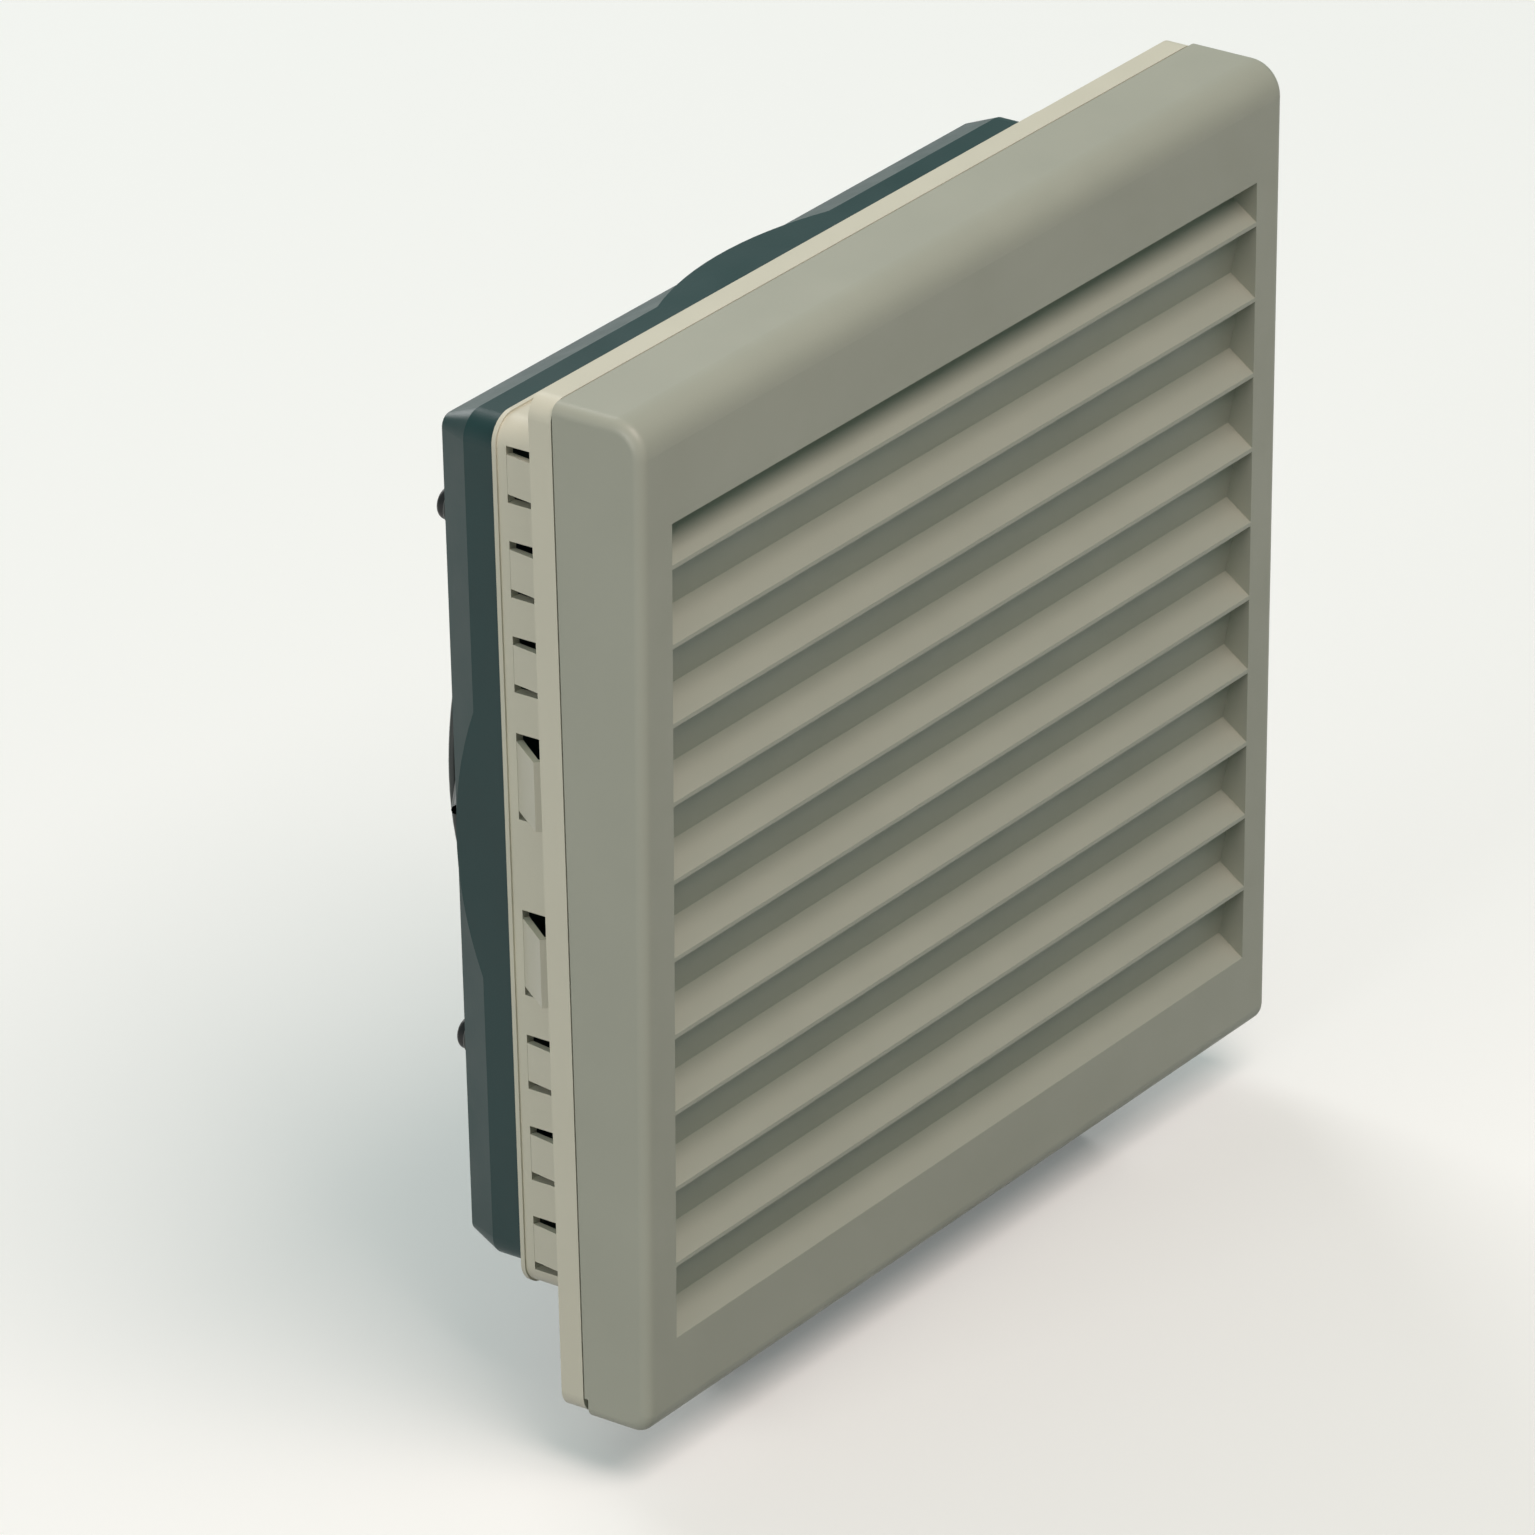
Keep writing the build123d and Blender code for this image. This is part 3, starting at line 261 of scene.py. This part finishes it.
# zinc-plated steel: bright with a grey cast
zincSteel = toolMarkedMetal("zincPlatedSteel", "b9bcbe", rough=0.34)
# blackened steel: an oxide skin with little shine
blackSteel = toolMarkedMetal("blackenedSteel", "1c1d1f", rough=0.38, metallic=0.3)
coatedWire = powderCoat("powderCoatedWire", "262d2d")
# ground steel of the shaft, pins and bearings: bright, with lines round it
groundSteel = toolMarkedMetal("groundSteel", "c3c6c9", rough=0.2, stretch=(1, 30, 1))
# blued strip of the spring and the circlip: dark with a blue cast
bluedStrip = toolMarkedMetal("bluedStrip", "4b5058", rough=0.3)
# turned brass: yellow, with fine rings
turnedBrass = toolMarkedMetal("turnedBrass", "b8974e", rough=0.3, stretch=(1, 40, 1))
# cast aluminium of the rotor's bars: dull and grainy
castAluminium = toolMarkedMetal("castAluminium", "b4b6b8", rough=0.5, stretch=(1, 1, 1),
                                line=0.9 * mm, depth=0.03 * mm)
# tinned brass of the earth tab: pale with a warm cast
tinnedBrass = toolMarkedMetal("tinnedBrass", "c6c2b2", rough=0.3)
# varnished iron sheets: dark, with the sheets' edges as lines
varnishedIron = toolMarkedMetal("varnishedIron", "55585c", rough=0.45, stretch=(1, 60, 1),
                                line=0.5 * mm, depth=0.03 * mm)
windingCopper = woundWire("enamelledCopper", "a4562f")
fleece = needledFleece("needledPolyester", "e8e6de")

finishes = {
    "louvre_cover": coverAbs, "hinge_pins": groundSteel, "base_frame": frameAbs,
    "mat_grid": frameAbs, "left_snap_tabs": frameAbs, "right_snap_tabs": frameAbs,
    "panel_seal": sealFoam, "filter_mat": fleece, "fan_housing": housingAbs,
    "housing_screws": zincSteel, "fan_frame": ductPolyester, "fan_screws": zincSteel,
    "finger_guard": coatedWire, "guard_screws": blackSteel, "bearing_tube": turnedBrass,
    "bearing_front": groundSteel, "bearing_rear": groundSteel, "preload_spring": bluedStrip,
    "stator_core": varnishedIron, "coil_former": formerPolyester, "stator_coils": windingCopper,
    "terminal_block": blockPolyamide, "terminal_screws": zincSteel, "earth_tab": tinnedBrass,
    "motor_leads": leadVinyl, "impeller": bladePolyester, "rotor_ring": varnishedIron,
    "rotor_cage": castAluminium, "rotor_bush": turnedBrass, "rotor_shaft": groundSteel,
    "shaft_circlip": bluedStrip,
}
for name, material in finishes.items():
    nodes[name].data.materials.clear()
    nodes[name].data.materials.append(material)
print("materials set on", len(finishes), "nodes")


def finishPiece(piece, body, material, replaced):
    piece.data.materials.append(material)
    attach(piece, body)
    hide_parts(*replaced)


def addPiece(name, data):
    piece = bpy.data.objects.new(name, data)
    bpy.context.scene.collection.objects.link(piece)
    return piece


def meshPiece(name, build, smooth=False):
    mesh = bpy.data.meshes.new(name)
    form = bmesh.new()
    build(form)
    form.normal_update()
    form.to_mesh(mesh)
    form.free()
    for face in mesh.polygons:
        face.use_smooth = smooth
    return addPiece(name, mesh)


def addBlock(form, low, high):
    bmesh.ops.create_cube(form, size=1)
    bmesh.ops.scale(form, vec=high - low, verts=form.verts)
    bmesh.ops.translate(form, vec=(low + high) / 2, verts=form.verts)


# The mat: a fleece block whose cut edges are a little rounded and whose faces lie unevenly.
# Crown and fluff are the heights of the slow and the quick unevenness; their waves are per metre.
mat = {"step": 2.0 * mm, "layers": 4, "inset": 0.3 * mm, "edgeRound": 1.8 * mm, "edgeDrop": 0.7,
       "crown": 0.5 * mm, "crownWaves": 60, "fluff": 0.45 * mm, "fluffWaves": 700}


def runsDeep(edge):
    return abs(edge.verts[0].co.y - edge.verts[1].co.y) > mat["inset"]


def buildMat(form):
    low, high = [Vector(corner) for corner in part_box("filter_mat")]
    low += Vector((mat["inset"],) * 3)
    high -= Vector((mat["inset"],) * 3)
    size = high - low
    centre = (low + high) / 2
    addBlock(form, low, high)
    across = [edge for edge in form.edges if not runsDeep(edge)]
    bmesh.ops.subdivide_edges(form, edges=across, cuts=int(size.x / mat["step"]),
                              use_grid_fill=True)
    deep = [edge for edge in form.edges if runsDeep(edge)]
    bmesh.ops.subdivide_edges(form, edges=deep, cuts=mat["layers"], use_grid_fill=True)
    for vert in form.verts:
        reach = min(vert.co.x - low.x, high.x - vert.co.x, vert.co.z - low.z, high.z - vert.co.z)
        pull = max(0.0, 1 - reach / mat["edgeRound"])
        share = (vert.co.y - centre.y) / (size.y / 2)
        vert.co.y -= share * pull ** 2 * mat["edgeRound"] * mat["edgeDrop"]
        lift = (noise.noise(vert.co * mat["crownWaves"]) * mat["crown"]
                + noise.noise(vert.co * mat["fluffWaves"]) * mat["fluff"])
        inward = (centre - vert.co).normalized()
        if abs(share) > 0.99:  # on the front or the rear face
            vert.co.y += share * (lift - mat["crown"] / 2)
        else:
            vert.co += Vector((inward.x, 0, inward.z)) * abs(lift)


filterMat = meshPiece("filterMat", buildMat, smooth=True)
finishPiece(filterMat, "base", fleece, ["filter_mat"])
print("filter mat made")

# The finger guard again in round wire: rings, radial wires, sloping feet and eyelets.
# "slim" keeps the wires just inside the solid's, "seat" is how far a ring's middle lies from the
# radial wires' in wire radii, and "overshoot" puts a closed spline's curve on its radius.
guard = {"wire": 1.0 * mm, "slim": 0.98, "seat": 1.5, "plane": 47.5 * mm,
         "rings": (10 * mm, 24 * mm, 38 * mm, 51.5 * mm, 65 * mm), "ringPoints": 16,
         "overshoot": 1.0265, "rim": 65 * mm, "foot": 76.25 * mm, "footPlane": 39.9 * mm,
         "feet": 4, "post": (62.5 * mm, 54.5 * mm), "eyelet": 3.2 * mm}


def addWire(curve, points, closed):
    spline = curve.splines.new("NURBS" if closed else "POLY")
    spline.points.add(len(points) - 1)
    for point, place in zip(spline.points, points):
        point.co = (*place, 1)
    spline.use_cyclic_u = closed
    if closed:
        spline.order_u = 4
        spline.resolution_u = 8


def addRing(curve, radius, plane, middle=(0, 0)):
    reach = radius * guard["overshoot"]
    steps = [math.tau * i / guard["ringPoints"] for i in range(guard["ringPoints"])]
    addWire(curve, [(middle[0] + reach * math.cos(angle), plane, middle[1] + reach * math.sin(angle))
                    for angle in steps], True)


guardCurve = bpy.data.curves.new("guardWires", "CURVE")
guardCurve.dimensions = "3D"
guardCurve.bevel_depth = guard["wire"] * guard["slim"]
guardCurve.bevel_resolution = 3
for radius in guard["rings"]:
    addRing(guardCurve, radius, guard["plane"] + guard["seat"] * guard["wire"])
# one more ring lies on the slopes of the feet, halfway down
slope = Vector((guard["foot"] - guard["rim"], guard["footPlane"] - guard["plane"]))
half = Vector((guard["rim"], guard["plane"])) + slope / 2
inward = Vector((slope.y, -slope.x)).normalized() * guard["seat"] * guard["wire"]
addRing(guardCurve, half.x + inward.x, half.y + inward.y)
for signX in (-1, 1):
    for signZ in (-1, 1):
        post = Vector((signX * guard["post"][0], 0, signZ * guard["post"][1]))
        end = post.normalized() * (post.length - guard["eyelet"])
        addWire(guardCurve, [(0, guard["plane"], 0), (end.x, guard["plane"], end.z)], False)
        addRing(guardCurve, guard["eyelet"], guard["plane"], (post.x, post.z))
for i in range(guard["feet"]):
    angle = math.tau * i / guard["feet"]
    out = Vector((math.cos(angle), 0, math.sin(angle)))
    bend = out * guard["rim"]
    foot = out * guard["foot"]
    addWire(guardCurve, [(0, guard["plane"], 0), (bend.x, guard["plane"], bend.z),
                         (foot.x, guard["footPlane"], foot.z)], False)
guardWires = addPiece("guardWires", guardCurve)
finishPiece(guardWires, "base", coatedWire, ["finger_guard"])
print("finger guard made")

# Floor and backdrop: one sheet of studio paper that curves up far behind, in metres.
sweep = {"floor": -113.6 * mm, "front": -2.5, "bend": 2.2, "radius": 0.8, "steps": 8, "top": 3.5,
         "half": 3.5}


def buildSweep(form):
    # the bend starts on a point of its own, so that the floor keeps its flat shading
    profile = [(sweep["front"], 0), (sweep["bend"], 0)]
    for i in range(sweep["steps"] + 1):
        angle = math.pi / 2 * i / sweep["steps"]
        profile.append((sweep["bend"] + sweep["radius"] * math.sin(angle),
                        sweep["radius"] - sweep["radius"] * math.cos(angle)))
    profile.append((sweep["bend"] + sweep["radius"], sweep["top"]))
    rows = [[form.verts.new((x, y, sweep["floor"] + z)) for y, z in profile]
            for x in (-sweep["half"], sweep["half"])]
    for i in range(len(profile) - 1):
        form.faces.new((rows[0][i], rows[0][i + 1], rows[1][i + 1], rows[1][i]))


# a low bar under the flange carries the fan, so that the open cover stays above the floor
standBar = {"half": 60 * mm, "front": -5 * mm, "rear": 3 * mm, "top": -102.1 * mm, "edge": 1 * mm}


def buildBar(form):
    addBlock(form, Vector((-standBar["half"], standBar["front"], sweep["floor"])),
             Vector((standBar["half"], standBar["rear"], standBar["top"])))
    bmesh.ops.bevel(form, geom=form.edges, offset=standBar["edge"], segments=3, affect="EDGES")


# matt paper that looks nearly white and keeps its shadow, but throws only "thrown" of its light
# back on the fan; "glow" is what it adds where the camera or a reflection sees it
paperLook = {"colour": "ececea", "thrown": 0.1, "glow": 0.15, "rough": 0.9}
paper, paperTree, paperShader = startMaterial("studioPaper")[:3]
ray = addNode(paperTree, "ShaderNodeLightPath").outputs
seen = ray["Is Camera Ray"]
for kind in ("Is Glossy Ray", "Is Transmission Ray"):
    seen = addNode(paperTree, "ShaderNodeMath", {
        0: seen, 1: ray[kind]}, operation="MAXIMUM").outputs[0]
paleness = addNode(paperTree, "ShaderNodeMapRange", {
    "Value": seen, "To Min": paperLook["thrown"], "To Max": 1.0}).outputs["Result"]
paperTone = addNode(paperTree, "ShaderNodeVectorMath", {
    0: linear(paperLook["colour"])[:3], "Scale": paleness}, operation="SCALE").outputs["Vector"]
glow = addNode(paperTree, "ShaderNodeMath", {
    0: seen, 1: paperLook["glow"]}, operation="MULTIPLY").outputs[0]
feed(paperTree, paperShader, {
    "Base Color": paperTone, "Roughness": paperLook["rough"], "Emission Strength": glow,
    "Emission Color": linear("ffffff")})

backdrop = meshPiece("backdrop", buildSweep, smooth=True)
backdrop.data.materials.append(paper)
bar = meshPiece("standBar", buildBar)
bar.data.materials.append(paper)
print("floor, backdrop and bar made")

# The key stands steeply above, so that each lip shades the riser below it, and is warmer than
# the sky. Places and sizes are in metres, powers in watts.
lamps = {
    "keyLight": {"place": (-0.24, -1.17, 2.06), "size": 1.4, "power": 36, "tint": "ffeae4"},
    "sideLight": {"place": (-2.4, 0.1, 0.5), "size": 1.2, "power": 21.5, "tint": "fff8f6"},
    "rearLight": {"place": (1.0, 2.1, 1.3), "size": 1.4, "power": 26, "tint": "ffffff"},
}
sky = {"tint": "d0f2ec", "strength": 0.38}
for name, lamp in lamps.items():
    data = bpy.data.lights.new(name, "AREA")
    data.shape = "SQUARE"
    data.size = lamp["size"]
    data.energy = lamp["power"]
    data.color = linear(lamp["tint"])[:3]
    light = addPiece(name, data)
    light.location = lamp["place"]
    light.rotation_euler = (-Vector(lamp["place"])).to_track_quat("-Z", "Y").to_euler()
world = bpy.data.worlds.new("studio")
world.use_nodes = True
feed(world.node_tree, world.node_tree.nodes["Background"], {
    "Color": linear(sky["tint"]), "Strength": sky["strength"]})
bpy.context.scene.world = world

# The camera comes from a perspective fit to the photograph: angles in degrees, and the focal length
# and the shift in pixels of its frame.
lens = {"azimuth": -53.99, "elevation": 25.36, "roll": -1.18, "distance": 2126.9 * mm, "frame": 1535,
        "focal": 11359, "shift": (-105.5, -55.1), "sensor": 36, "clipEnd": 30}
azimuth, elevation, roll = [math.radians(lens[angle]) for angle in ("azimuth", "elevation", "roll")]
back = Vector((math.sin(azimuth) * math.cos(elevation), -math.cos(azimuth) * math.cos(elevation),
               math.sin(elevation)))
right = (-back).cross(Vector((0, 0, 1))).normalized()
up = right.cross(-back)
turnedRight = math.cos(roll) * right + math.sin(roll) * up
turnedUp = -math.sin(roll) * right + math.cos(roll) * up
pose = Matrix((turnedRight, turnedUp, back)).transposed().to_4x4()
pose.translation = back * lens["distance"]
camera = bpy.data.cameras.new("camera")
camera.sensor_width = lens["sensor"]
camera.lens = lens["sensor"] * lens["focal"] / lens["frame"]
camera.shift_x = lens["shift"][0] / lens["frame"]
camera.shift_y = lens["shift"][1] / lens["frame"]
camera.clip_end = lens["clipEnd"]
viewer = addPiece("camera", camera)
viewer.matrix_world = pose
bpy.context.scene.camera = viewer
bpy.context.scene.view_settings.view_transform = "Standard"
print("camera and lights set")
